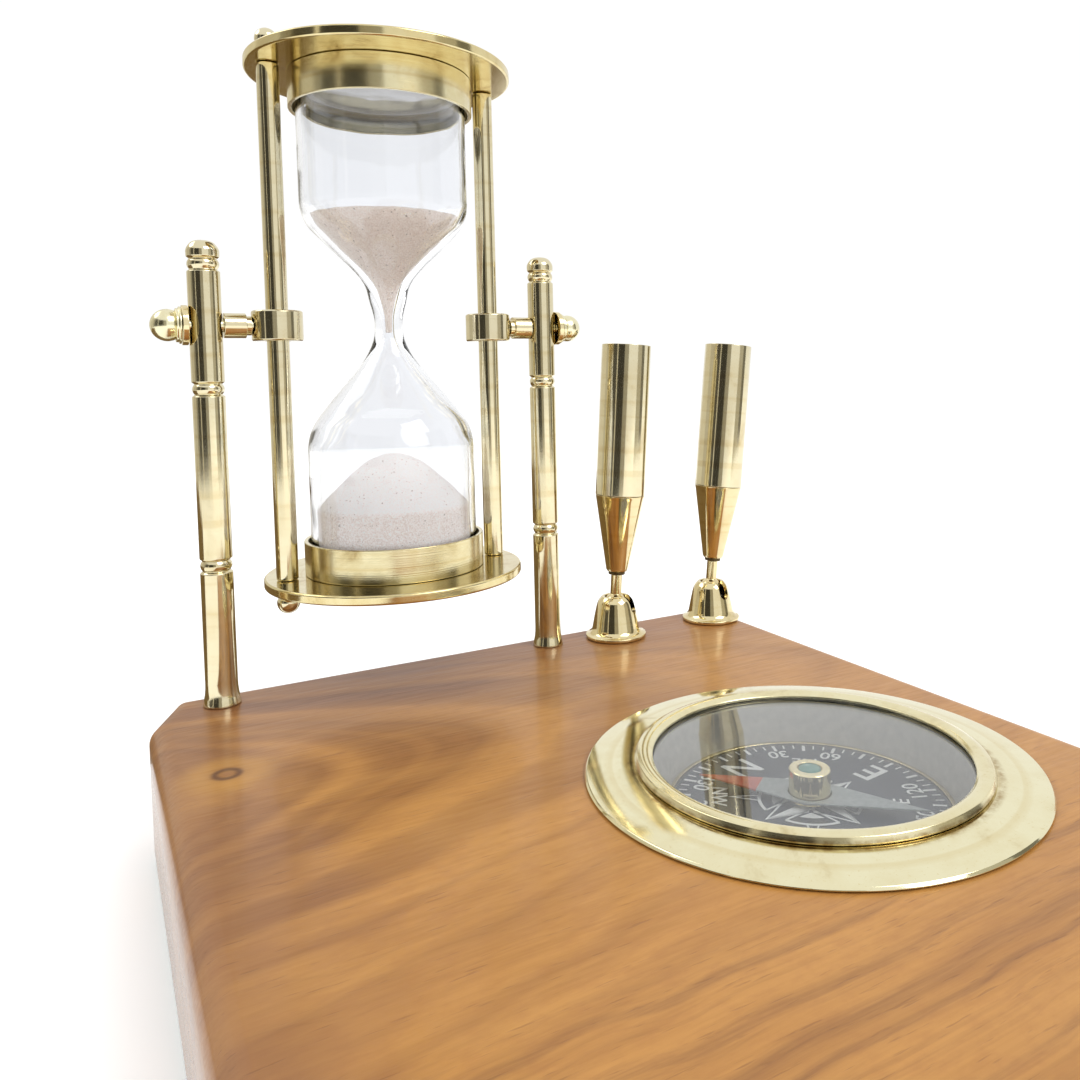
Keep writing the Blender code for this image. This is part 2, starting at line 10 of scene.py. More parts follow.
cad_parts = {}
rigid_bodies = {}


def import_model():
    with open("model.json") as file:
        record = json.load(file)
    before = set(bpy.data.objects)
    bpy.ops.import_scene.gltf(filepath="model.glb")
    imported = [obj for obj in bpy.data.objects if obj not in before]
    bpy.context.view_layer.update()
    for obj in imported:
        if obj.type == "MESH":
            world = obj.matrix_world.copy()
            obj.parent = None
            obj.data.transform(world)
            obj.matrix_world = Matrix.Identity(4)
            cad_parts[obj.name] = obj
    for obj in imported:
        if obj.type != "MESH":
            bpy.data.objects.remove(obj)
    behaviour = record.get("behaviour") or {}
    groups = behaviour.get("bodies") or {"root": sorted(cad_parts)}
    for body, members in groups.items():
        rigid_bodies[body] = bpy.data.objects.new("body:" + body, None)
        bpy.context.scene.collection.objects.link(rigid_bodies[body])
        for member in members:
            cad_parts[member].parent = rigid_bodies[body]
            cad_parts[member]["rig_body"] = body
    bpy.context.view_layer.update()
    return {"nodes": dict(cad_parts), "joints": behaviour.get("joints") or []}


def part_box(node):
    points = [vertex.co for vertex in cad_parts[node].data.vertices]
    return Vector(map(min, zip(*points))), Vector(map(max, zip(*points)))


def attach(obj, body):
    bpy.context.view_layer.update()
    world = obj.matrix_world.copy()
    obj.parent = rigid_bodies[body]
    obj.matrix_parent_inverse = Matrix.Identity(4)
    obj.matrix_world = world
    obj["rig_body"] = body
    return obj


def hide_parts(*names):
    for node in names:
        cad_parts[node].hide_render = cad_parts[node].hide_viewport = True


MM = 0.001

# Turned surfaces.
TRUE_CORNER = radians(36)
SMOOTH_STEP = radians(6)
SAME_RING = 0.02
EDGE_MARGIN = 0.06
SEGMENTS_BY_RADIUS = ((25, 144), (12, 112), (4, 72), (0, 48))

# The base, in millimetres, as in the CAD.
CORNER_CUT_X = 6.0
CORNER_CUT_Y = 15.0
EDGE_ROUND = 4.2
CORNER_ROUND = 1.2
POCKET_GAP = 0.4
SHANK_HOLE = 2.2
HEAD_HOLE = 4.3
HEAD_DEPTH = 4.0
BELL_SCREW_HOLE = 1.5
BELL_SCREW_DEPTH = 12.5
PAST = 5.0
JUST_PAST = 1.0

# The bells' slots: their width, where their lower ends lie, how far they cut, and the way each one faces.
SLOT_WIDTH = 3.4
SLOT_DROP = 3.0
SLOT_RISE = 6.0
SLOT_REACH = 12.0
SLOT_DIRECTIONS = {1: -47.0, 2: -75.0}

# The hourglass: its pivots' and rods' holes, and how far above its floor the lower sand meets the glass, above
# which its free surface has painted light.
BORE_RADIUS = 1.7
BORE_REACH = 9.0
ROD_HOLE = 1.6
LIT_SAND_EDGE = 11.35

# The needle, in millimetres.
NEEDLE_HOLE = 4.0
NEEDLE_HALF_WIDTH = 4.85
NEEDLE_END_GAP = 0.2
NEEDLE_EDGE = 0.08
NEEDLE_FACE_SHARE = 0.985

# The compass's print. Bearings run clockwise from north, which lies this far round from +X.
DIAL_NORTH = 97.0
NEEDLE_BEARING = 127.0
PRINT_LIFT = 0.02
PRINT_HEIGHT = 0.05
TICK_OUTER = 24.3
ROSE_TIP = 11.2
BOW_RADIUS = 9.2
SPEAR_TIP = 14.4
FONT_SIZE_PER_HEIGHT = 1.38

# The camera: its place in millimetres, and where it looks, in radians.
CAMERA_PLACE = (-84.54, -140.44, 101.98)
CAMERA_YAW = 0.5344
CAMERA_PITCH = 0.0608
CAMERA_ROLL = -0.0169
CAMERA_LENS = 30.78
CAMERA_SHIFT = (-0.0893, -0.1064)

# What the brass reflects: bands of the room, from one angle to another, and how bright each is.
ROOM_BANDS = (
    (-150, -105, 0.8),
    (-105, -74, 0.62),
    (-74, -62, 0.34),
    (-62, -41, 0.10),
    (-41, -37, 0.9),
    (-37, -4, 0.06),
    (-4, 16, 0.40),
    (62, 84, 0.55),
    (84, 100, 0.22),
)
ROOM_TONE = (1.0, 0.95, 0.82)
ROOM_HEIGHT = 0.6
TABLE_CORNERS = ((-0.55, 0.13), (0.12, 0.13), (0.30, 0.9), (-0.75, 0.9))
TABLE_TONE = (0.22, 0.15, 0.07)
FLOOR_DROP = 0.0003
FLOOR_GLOW = 0.12

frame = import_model()
joints = {joint["name"]: joint for joint in frame["joints"]}


# Materials.


class Look:
    """A material's nodes, with short ways to add what these surfaces need. Places are in millimetres."""

    def __init__(self, name):
        self.material = bpy.data.materials.new(name)
        self.material.use_nodes = True
        self.tree = self.material.node_tree
        self.shader = self.tree.nodes["Principled BSDF"]
        place = self.add("ShaderNodeTexCoord").outputs["Object"]
        self.place = self.add("ShaderNodeVectorMath", {0: place, "Scale": 1 / MM}, operation="SCALE").outputs[0]
        split = self.add("ShaderNodeSeparateXYZ", {0: self.place}).outputs
        self.x, self.y, self.z = split[0], split[1], split[2]

    def add(self, kind, inputs=None, **settings):
        node = self.tree.nodes.new(kind)
        for key, value in settings.items():
            setattr(node, key, value)
        for key, value in (inputs or {}).items():
            self.feed(node.inputs[key], value)
        return node

    def feed(self, socket, value):
        if isinstance(value, bpy.types.NodeSocket):
            self.tree.links.new(value, socket)
        elif socket.type == "RGBA" and len(value) == 3:
            socket.default_value = (*value, 1.0)
        else:
            socket.default_value = value

    def set(self, **values):
        """Sets or links the shader's own sockets, with _ for a space."""
        for key, value in values.items():
            self.feed(self.shader.inputs[key.replace("_", " ")], value)

    def math(self, operation, *values):
        inputs = dict(enumerate(values))
        return self.add("ShaderNodeMath", inputs, operation=operation).outputs[0]

    def total(self, *values):
        made = values[0]
        for value in values[1:]:
            made = self.math("ADD", made, value)
        return made

    def times(self, a, b):
        return self.math("MULTIPLY", a, b)

    def join(self, x, y, z=0.0):
        return self.add("ShaderNodeCombineXYZ", {0: x, 1: y, 2: z}).outputs[0]

    def noise(self, vector, scale, detail=3.0, rough=0.5, warp=0.0):
        inputs = {"Vector": vector, "Scale": scale, "Detail": detail, "Roughness": rough, "Distortion": warp}
        return self.add("ShaderNodeTexNoise", inputs).outputs["Fac"]

    def line_noise(self, value, scale, detail=3.0, rough=0.6):
        inputs = {"W": value, "Scale": scale, "Detail": detail, "Roughness": rough}
        return self.add("ShaderNodeTexNoise", inputs, noise_dimensions="1D").outputs["Fac"]

    def spread(self, value, low, high, new_low=0.0, new_high=1.0):
        """A value from low to high, mapped evenly and held to the new range."""
        inputs = {0: value, 1: low, 2: high, 3: new_low, 4: new_high}
        return self.add("ShaderNodeMapRange", inputs).outputs[0]

    def mix(self, share, first, second):
        node = self.add("ShaderNodeMix", data_type="RGBA")
        for socket, value in zip((node.inputs[0], node.inputs[6], node.inputs[7]), (share, first, second)):
            self.feed(socket, value)
        return node.outputs[2]

    def bell(self, value, centre, width):
        """1 at the centre, falling smoothly to 0 at a width from it."""
        away = self.math("ABSOLUTE", self.math("SUBTRACT", value, centre))
        inputs = {0: away, 1: 0.0, 2: width, 3: 1.0, 4: 0.0}
        return self.add("ShaderNodeMapRange", inputs, interpolation_type="SMOOTHSTEP").outputs[0]

    def bump(self, height, depth, strength=1.0):
        """Relief of a depth in millimetres."""
        inputs = {"Height": height, "Distance": depth * MM, "Strength": strength}
        self.set(Normal=self.add("ShaderNodeBump", inputs).outputs[0])


def brass_look(name, tint, roughness=0.1, lines=0.0015, spacing=6.0, stain=0.35, dark_ring=None):
    """Turned brass: fine lines round the axis, stains, softly varying gloss and, where given, a patchy brown
    ring at a radius.
    """
    look = Look(name)
    radius = look.math("SQRT", look.total(look.times(look.x, look.x), look.times(look.y, look.y)))
    along = look.total(look.z, look.times(radius, 1.37))
    fine = look.line_noise(along, spacing)
    cloud = look.noise(look.place, 0.11, 5.0, 0.6, 0.4)
    specks = look.noise(look.place, 1.7, 4.0, 0.65)
    warm = (tint[0] * 0.80, tint[1] * 0.68, tint[2] * 0.46)
    brown = (tint[0] * 0.46, tint[1] * 0.34, tint[2] * 0.20)
    bands = look.line_noise(along, 0.3, 2.0)
    share = look.times(look.spread(cloud, 0.42, 0.70), stain)
    colour = look.mix(share, tint, warm)
    colour = look.mix(look.times(look.spread(bands, 0.52, 0.72), stain), colour, warm)
    colour = look.mix(look.times(look.spread(cloud, 0.60, 0.74), stain), colour, brown)
    dull = look.times(look.spread(specks, 0.60, 0.74), 0.5)
    colour = look.mix(dull, colour, warm)
    # A patchy, darker brown ring at a given radius and width.
    if dark_ring:
        patchy = look.spread(look.noise(look.place, 0.35, 4.0, 0.7), 0.36, 0.62, 0.1, 0.9)
        colour = look.mix(look.times(look.bell(radius, *dark_ring), patchy), colour, brown)
    look.set(Base_Color=colour, Metallic=1.0)
    look.set(Roughness=look.spread(cloud, 0.3, 0.7, roughness * 0.75, roughness * 1.35))
    look.bump(fine, lines)
    return look.material


def wood_look():
    """Varnished wood. The grain runs along X, and its arches open towards the left."""
    look = Look("varnished_wood")
    drift = look.noise(look.join(look.times(look.x, 0.5), look.y, look.z), 0.035, 2.0)
    across = look.math("SUBTRACT", look.y, 34.0)
    bend = look.total(across, look.times(look.math("SUBTRACT", drift, 0.5), 16.0))
    arch = look.times(look.times(bend, bend), 0.043)
    knot_x = look.math("ADD", look.x, 65.9)
    knot_y = look.math("SUBTRACT", look.y, 40.8)
    reach = look.total(look.times(knot_x, knot_x), look.times(knot_y, knot_y))
    from_knot = look.math("SQRT", reach)
    swirl = look.times(look.bell(from_knot, 0.0, 17.0), 9.0)
    sum_of_rings = look.total(look.x, arch, swirl, look.times(look.z, 1.6))
    rings = look.math("SQRT", look.math("MAXIMUM", look.math("ADD", sum_of_rings, 130.0), 0.0))
    wide_bands = look.line_noise(rings, 0.55, 2.0)
    fine_bands = look.line_noise(rings, 2.3, 3.0)
    fibres = look.noise(look.join(look.times(look.x, 0.05), look.y, look.z), 1.5, 4.0, 0.6)
    mottle = look.noise(look.join(look.times(look.x, 0.35), look.y, look.z), 0.06, 3.0)
    to_corner = look.total(look.times(look.y, 0.008), look.times(look.x, -0.006))
    figure = look.spread(to_corner, -0.3, 0.5, 0.35, 1.0)
    shade = look.total(
        look.times(look.times(look.spread(wide_bands, 0.40, 0.62), figure), 0.62),
        look.times(look.times(look.spread(fine_bands, 0.3, 0.75), figure), 0.28),
        look.times(look.spread(fibres, 0.35, 0.7), 0.16),
    )
    colour = look.mix(shade, (0.475, 0.224, 0.054), (0.175, 0.066, 0.019))
    colour = look.mix(look.spread(mottle, 0.42, 0.68, 0.0, 0.5), colour, (0.50, 0.25, 0.066))
    blotch = look.noise(look.join(look.times(look.x, 0.6), look.y, look.z), 0.45, 4.0, 0.6)
    colour = look.mix(look.spread(blotch, 0.45, 0.72, 0.0, 0.35), colour, (0.33, 0.135, 0.038))
    colour = edge_tone(look, colour, mottle)
    colour = streaks(look, colour, fibres)
    colour = knot(look, colour, from_knot)
    pores = look.noise(look.join(look.times(look.x, 0.14), look.times(look.y, 1.6), look.z), 1.3, 2.0, 0.5)
    pore = look.spread(pores, 0.64, 0.72)
    colour = look.mix(look.times(pore, 0.28), colour, (0.11, 0.04, 0.017))
    coat = look.spread(look.z, 20.0, 27.0, 0.8, 0.24)
    look.set(Base_Color=colour, Coat_Weight=coat, Coat_Roughness=0.14, IOR=1.45, Specular_IOR_Level=0.28)
    look.set(Roughness=look.spread(fibres, 0.3, 0.7, 0.32, 0.48))
    ripple = look.noise(look.place, 0.12, 3.0)
    height = look.total(look.times(pore, -0.35), look.times(fibres, 0.2), look.times(ripple, 1.6))
    look.bump(height, 0.03)
    return look.material


def edge_tone(look, colour, mottle):
    """The mauve-brown of the back and of the left side, with an uneven border."""
    wander = look.times(look.math("SUBTRACT", mottle, 0.5), 60.0)
    back = look.spread(look.total(look.y, wander), 52.0, 84.0)
    left = look.spread(look.total(look.x, wander), -52.0, -72.0)
    share = look.times(look.math("MAXIMUM", back, left), 0.55)
    return look.mix(share, colour, (0.20, 0.082, 0.038))


def streaks(look, colour, fibres):
    """Dark streaks along the grain near the front, and smaller ones elsewhere."""
    wave = look.noise(look.join(look.times(look.x, 0.02), 0.0, 0.0), 1.0, 2.0)
    bent = look.total(look.y, look.times(look.math("SUBTRACT", wave, 0.5), 22.0))
    lines = look.line_noise(bent, 0.35, 3.0)
    near_front = look.bell(look.y, -66.0, 30.0)
    strong = look.times(look.spread(lines, 0.46, 0.66), near_front)
    share = look.times(look.total(strong, look.times(look.spread(lines, 0.62, 0.75), 0.3)), 0.42)
    broken = look.times(share, look.spread(fibres, 0.25, 0.6, 0.35, 1.0))
    return look.mix(broken, colour, (0.13, 0.05, 0.022))


def knot(look, colour, distance):
    """A small pin knot with a yellow halo, a dark ring and a pale middle."""
    colour = look.mix(look.times(look.bell(distance, 5.0, 5.5), 0.55), colour, (0.50, 0.25, 0.05))
    colour = look.mix(look.times(look.bell(distance, 2.1, 1.2), 0.85), colour, (0.09, 0.03, 0.014))
    return look.mix(look.times(look.bell(distance, 0.0, 1.1), 0.7), colour, (0.30, 0.13, 0.05))


def glass_look(name, tint=(1.0, 1.0, 1.0), ripple=0.0):
    look = Look(name)
    look.set(Base_Color=tint, Transmission_Weight=1.0, IOR=1.47)
    smears = look.noise(look.place, 0.2, 3.0)
    look.set(Roughness=look.spread(smears, 0.5, 0.8, 0.0, 0.02))
    look.bump(look.noise(look.place, 0.09, 1.0), ripple)
    return look.material


def sand_look(name, deep, light, lit_heap_from=None):
    """Fine sand with dark specks and a painted glow: it emits its own paler tone. Above a height, painted light
    makes its free surface paler than what lies on the glass.
    """
    look = Look(name)
    grain = look.noise(look.place, 2.6, 3.0, 0.7)
    dark = look.noise(look.place, 1.5, 1.0)
    pale = look.noise(look.place, 0.16, 3.0)
    colour = look.mix(look.spread(grain, 0.40, 0.60), deep, light)
    colour = look.mix(look.spread(pale, 0.4, 0.7, 0.0, 0.3), colour, light)
    if lit_heap_from:
        # Painted light: above this height the heap's free surface is whitened, as where light falls on it.
        free = look.spread(look.z, lit_heap_from - 0.4, lit_heap_from + 0.5, 0.0, 0.7)
        colour = look.mix(free, colour, (1.0, 0.97, 0.95))
    colour = look.mix(look.spread(dark, 0.69, 0.74, 0.0, 0.75), colour, (0.24, 0.16, 0.12))
    # Painted light: the sand glows faintly in its paler tone, so that it reads brighter behind the glass.
    look.set(Base_Color=colour, Roughness=0.9, Emission_Color=light, Emission_Strength=0.17)
    look.bump(grain, 0.34)
    return look.material


def plain_look(name, colour, other, roughness, scale, metallic=0.0, relief=0.01, sheen=0.0):
    """Two tones mottled at a scale, with relief to match."""
    look = Look(name)
    mottle = look.noise(look.place, scale, 4.0, 0.6)
    look.set(Base_Color=look.mix(look.spread(mottle, 0.35, 0.65), colour, other), Metallic=metallic)
    look.set(Roughness=look.spread(mottle, 0.3, 0.7, roughness * 0.85, min(1.0, roughness * 1.15)))
    look.set(Sheen_Weight=sheen)
    look.bump(mottle, relief)
    return look.material


def needle_look():
    """Grey enamel, red over the outer part of the needle's north half."""
    look = Look("needle_enamel")
    mottle = look.noise(look.place, 1.1, 3.0)
    grey = look.mix(look.spread(mottle, 0.3, 0.7), (0.27, 0.29, 0.29), (0.37, 0.39, 0.39))
    red = look.mix(look.spread(mottle, 0.3, 0.7), (0.42, 0.06, 0.03), (0.55, 0.10, 0.05))
    look.set(Base_Color=look.mix(look.spread(look.x, 9.3, 9.5), grey, red), Metallic=0.2, Roughness=0.42)
    look.bump(mottle, 0.01)
    return look.material


def make_looks():
    return {
        "brass": brass_look("polished_brass", (0.73, 0.66, 0.45)),
        "satin": brass_look("satin_brass", (0.82, 0.77, 0.52), 0.2, 0.0012, 5.0, 0.25),
        "flange": brass_look("flange_brass", (0.82, 0.77, 0.52), 0.09, 0.0012, 5.0, 0.3, (32.6, 1.3)),
        "bezel": brass_look("bezel_brass", (0.80, 0.74, 0.49), 0.15, 0.0014, 5.0, 0.3, (31.9, 0.25)),
        "golden": brass_look("golden_brass", (0.77, 0.665, 0.40), 0.09, 0.0010, 6.0, 0.45),
        "brushed": brass_look("brushed_brass", (0.72, 0.65, 0.41), 0.2, 0.012, 2.6, 0.6),
        "disc": brass_look("plate_brass", (0.72, 0.63, 0.36), 0.12, 0.005, 3.0, 0.6),
        "dark_brass": plain_look("dark_brass", (0.16, 0.12, 0.06), (0.08, 0.06, 0.03), 0.45, 1.4, 1.0),
        "wood": wood_look(),
        "felt": plain_look("green_felt", (0.02, 0.07, 0.035), (0.035, 0.10, 0.05), 0.95, 2.6, 0.0, 0.25, 0.4),
        "glass": glass_look("blown_glass", (0.93, 0.94, 0.96), 0.2),
        "pane": glass_look("compass_pane", (0.96, 0.98, 0.98)),
        # Both sands have a painted glow, and the lower one also has painted light on its top.
        "sand_upper": sand_look("upper_sand_painted_glow", (0.80, 0.66, 0.56), (0.98, 0.88, 0.80)),
        "sand_lower": sand_look("lower_sand_painted_glow_and_light", (0.76, 0.62, 0.54), (1.0, 0.93, 0.88), LIT_SAND_EDGE),
        "cork": plain_look("cork", (0.50, 0.32, 0.17), (0.28, 0.16, 0.08), 0.85, 1.3, 0.0, 0.12),
        "cushion": plain_look("cushion_foam", (0.97, 0.93, 0.88), (0.86, 0.81, 0.74), 0.9, 3.1, 0.0, 0.1, 0.2),
        "steel": plain_look("zinc_steel", (0.55, 0.55, 0.56), (0.40, 0.40, 0.42), 0.3, 1.2, 1.0),
        "dial_black": plain_look("dial_enamel", (0.014, 0.018, 0.034), (0.024, 0.03, 0.05), 0.35, 1.8),
        "housing_paint": plain_look("case_grey", (0.50, 0.47, 0.42), (0.42, 0.40, 0.36), 0.5, 0.6),
        "jewel_green": plain_look("green_enamel", (0.05, 0.20, 0.15), (0.09, 0.27, 0.21), 0.25, 0.9),
        "gasket_rubber": plain_look("black_rubber", (0.02, 0.02, 0.02), (0.035, 0.035, 0.035), 0.7, 2.2),
        "print": plain_look("white_print", (0.78, 0.78, 0.77), (0.70, 0.70, 0.69), 0.5, 1.9),
        "needle_paint": needle_look(),
    }


# Turned pieces.


def profile_of(node, axis):
    """A turned CAD node's outline, as (radius, height) in millimetres, and whether it closes on itself."""
    mesh = frame["nodes"][node].data
    to_axis = axis.inverted()
    rings = []
    ring_of = []
    for vertex in mesh.vertices:
        place = to_axis @ vertex.co / MM
        radius = hypot(place.x, place.y)
        found = None
        for index, ring in enumerate(rings):
            if abs(ring["radius"] - radius) < SAME_RING and abs(ring["height"] - place.z) < SAME_RING:
                found = index
        if found is None:
            found = len(rings)
            rings.append({"radius": radius, "height": place.z, "angles": set(), "next": {}})
        angle = place.to_2d().angle_signed(Vector((1, 0)), 0)
        rings[found]["angles"].add(round(angle, 1))
        ring_of.append(found)
    for edge in mesh.edges:
        a, b = (ring_of[v] for v in edge.vertices)
        if a != b:
            rings[a]["next"][b] = rings[a]["next"].get(b, 0) + 1
            rings[b]["next"][a] = rings[b]["next"].get(a, 0) + 1
    whole = {i for i, ring in enumerate(rings) if len(ring["angles"]) > 6 or ring["radius"] < SAME_RING}
    links = {i: [j for j, count in rings[i]["next"].items() if j in whole and count > 3] for i in whole}
    return chain(rings, links)


def chain(rings, links):
    """The rings in order along the outline. An open outline starts and ends on the axis."""
    ends = [i for i in links if len(links[i]) < 2]
    order = [ends[0] if ends else min(links)]
    while True:
        onward = [j for j in links[order[-1]] if j not in order]
        if not onward:
            break
        order.append(onward[0])
    points = [(rings[i]["radius"], rings[i]["height"]) for i in order]
    if ends:
        if points[0][0] > SAME_RING:
            points.insert(0, (0.0, points[0][1]))
        if points[-1][0] > SAME_RING:
            points.append((0.0, points[-1][1]))
    return points, not ends


def tangent_at_end(side):
    """A shallow end meets the axis squarely, and a steep one comes to a point."""
    if abs(side.x) > abs(side.y):
        return Vector((1.0 if side.x > 0 else -1.0, 0.0))
    return side.normalized()


def tangent_between(before, after):
    """The direction at a smooth point. A side much longer than its neighbour stays straight."""
    if before.length > 3 * after.length:
        return before.normalized()
    if after.length > 3 * before.length:
        return after.normalized()
    return (before.normalized() + after.normalized()).normalized()


def softened(points, closed, fillet):
    """The outline with its true corners rounded and its curved stretches made smooth."""
    points = [Vector(point) for point in points]
    count = len(points)
    knots = []
    for i, point in enumerate(points):
        before = point - points[i - 1] if closed or i > 0 else None
        after = points[(i + 1) % count] - point if closed or i < count - 1 else None
        if before is None or after is None:
            direction = tangent_at_end(before or after)
            knots.append(([point], direction, direction))
        elif before.angle(after) > TRUE_CORNER:
            size = min(fillet, 0.35 * before.length, 0.35 * after.length)
            start = point - before.normalized() * size
            end = point + after.normalized() * size
            middle = [start * (1 - t) ** 2 + point * 2 * t * (1 - t) + end * t * t for t in (1 / 3, 2 / 3)]
            knots.append(([start, *middle, end], before.normalized(), after.normalized()))
        else:
            direction = tangent_between(before, after)
            knots.append(([point], direction, direction))
    made = []
    for i, (places, _, leaving) in enumerate(knots):
        made += places
        if closed or i < count - 1:
            following, arriving, _ = knots[(i + 1) % count]
            made += curve_between(places[-1], following[0], leaving, arriving)
    return [(max(place.x, 0.0), place.y) for place in made]


def curve_between(start, end, leaving, arriving):
    """The points inside a smooth curve that keeps the directions at both its ends."""
    side = end - start
    if side.length < 1e-6:
        return []
    turn = max(leaving.angle(side), arriving.angle(side))
    if turn < radians(0.5):
        margin = side * min(0.2, EDGE_MARGIN / side.length)
        return [start + margin, end - margin]
    steps = min(10, max(2, ceil(2 * turn / SMOOTH_STEP)))
    made = []
    for i in range(1, steps):
        t = i / steps
        made.append(
            start * (2 * t**3 - 3 * t**2 + 1)
            + leaving * side.length * (t**3 - 2 * t**2 + t)
            + end * (3 * t**2 - 2 * t**3)
            + arriving * side.length * (t**3 - t**2)
        )
    return made


def segments_for(radius):
    return next(segments for least, segments in SEGMENTS_BY_RADIUS if radius >= least)


def lathe(name, outline, closed, axis, look, segments=None):
    """The outline spun round its axis, as an object whose origin is on that axis."""
    segments = segments or segments_for(max(radius for radius, _ in outline))
    verts, rings, faces = [], [], []
    for radius, height in outline:
        steps = 1 if radius < 1e-4 else segments
        rings.append([len(verts) + i for i in range(steps)])
        for i in range(steps):
            angle = 2 * pi * i / segments
            verts.append((radius * cos(angle) * MM, radius * sin(angle) * MM, height * MM))
    pairs = list(zip(rings, rings[1:]))
    if closed:
        pairs.append((rings[-1], rings[0]))
    for ring, following in pairs:
        for i in range(segments):
            j = (i + 1) % segments
            corners = (ring[i % len(ring)], ring[j % len(ring)])
            corners += (following[j % len(following)], following[i % len(following)])
            face = list(dict.fromkeys(corners))
            if len(face) > 2:
                faces.append(face)
    mesh = bpy.data.meshes.new(name)
    mesh.from_pydata(verts, [], faces)
    return finished(name, mesh, look, axis)


def finished(name, mesh, look, place=None, sharp=50.0):
    """An object made from a mesh, with its faces pointing out, shaded smooth up to an angle."""
    shape = bmesh.new()
    shape.from_mesh(mesh)
    bmesh.ops.recalc_face_normals(shape, faces=shape.faces)
    shape.to_mesh(mesh)
    shape.free()
    mesh.shade_smooth()
    mesh.set_sharp_from_angle(angle=radians(sharp))
    mesh.materials.clear()
    mesh.materials.append(look)
    made = bpy.data.objects.new(name, mesh)
    bpy.context.scene.collection.objects.link(made)
    if place:
        made.matrix_world = place
    return made


def stand_in(piece, *nodes):
    """The piece takes these CAD nodes' place, on the body that they have, and hides them."""
    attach(piece, frame["nodes"][nodes[0]]["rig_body"])
    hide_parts(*nodes)
    return piece


def upright(node):
    """The vertical axis through a node's middle, at the height of its lowest point."""
    low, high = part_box(node)
    return Matrix.Translation(((low.x + high.x) / 2, (low.y + high.y) / 2, low.z))


def pivot_axis(side):
    """The pivots' axis, pointing outwards from the hourglass, with its origin on the post's axis."""
    place = Vector(joints[f"knob_{side}_turn"]["pos_m"])
    turn = pi / 2 if side == "right" else -pi / 2
    return Matrix.Translation(place) @ Matrix.Rotation(turn, 4, "Y")


def holder_axis(number):
    """A pen holder's own axis, from its ball's centre up through its tube."""
    ball = Vector(joints[f"holder_{number}_tilt"]["pos_m"])
    mesh = frame["nodes"][f"pen_tube_{number}"].data
    middle = sum((vertex.co for vertex in mesh.vertices), Vector()) / len(mesh.vertices)
    lean = (middle - ball).normalized()
    return Matrix.Translation(ball) @ Vector((0, 0, 1)).rotation_difference(lean).to_matrix().to_4x4()


def turned(node, look, axis=None, fillet=0.12, holes=()):
    """A CAD node turned again with fine curves and soft corners, and with its holes cut."""
    axis = axis or upright(node)
    points, closed = profile_of(node, axis)
    piece = lathe(node + "_turned", softened(points, closed, fillet), closed, axis, look)
    for hole in holes:
        cut(piece, hole)
    return stand_in(piece, node)


def drill(radius, low, high, axis):
    """A round cutter along an axis, in millimetres."""
    return lathe("cutter", [(0, low), (radius, low), (radius, high), (0, high)], False, axis, None)


def cut(piece, tool):
    modifier = piece.modifiers.new("cut", "BOOLEAN")
    modifier.operation = "DIFFERENCE"
    modifier.solver = "EXACT"
    modifier.object = tool
    bpy.context.view_layer.update()
    graph = bpy.context.evaluated_depsgraph_get()
    mesh = bpy.data.meshes.new_from_object(piece.evaluated_get(graph))
    piece.modifiers.clear()
    piece.data = mesh
    mesh.shade_smooth()
    mesh.set_sharp_from_angle(angle=radians(50.0))
    bpy.data.objects.remove(tool)


# The base.


def base_outline(low, high):
    """The base's outline in millimetres, with its four corners cut off."""
    x, y = (high.x - low.x) / 2 / MM, (high.y - low.y) / 2 / MM
    quarter = [(x, y - CORNER_CUT_Y), (x - CORNER_CUT_X, y)]
    half = quarter + [(-a, b) for a, b in reversed(quarter)]
    return [Vector(point) for point in half + [(-a, -b) for a, b in half]]


def eased(outline, inset, radius, steps=5):
    """The outline moved inwards by an inset, with each corner rounded to a radius."""
    made = []
    for i, point in enumerate(outline):
        before = (point - outline[i - 1]).normalized()
        after = (outline[(i + 1) % len(outline)] - point).normalized()
        turn = before.angle(after)
        inward = (after - before).normalized()
        corner = point + inward * inset / cos(turn / 2)
        reach = radius * tan(turn / 2)
        start, end = corner - before * reach, corner + after * reach
        for k in range(steps + 1):
            t = k / steps
            made.append(start * (1 - t) ** 2 + corner * 2 * t * (1 - t) + end * t * t)
    return made


def stack(outline, levels):
    """A closed solid through copies of the outline, each at a height with its inset and corner radius."""
    shape = bmesh.new()
    rows = []
    for height, inset, radius in levels:
        rows.append([shape.verts.new((p.x, p.y, height)) for p in eased(outline, inset, radius)])
    for row, following in zip(rows, rows[1:]):
        for i, vertex in enumerate(row):
            j = (i + 1) % len(row)
            shape.faces.new((vertex, row[j], following[j], following[i]))
    shape.faces.new(rows[0])
    shape.faces.new(rows[-1])
    return shape


def mesh_in_metres(name, shape):
    bmesh.ops.scale(shape, vec=(MM, MM, MM), verts=shape.verts)
    mesh = bpy.data.meshes.new(name)
    shape.to_mesh(mesh)
    shape.free()
    return mesh


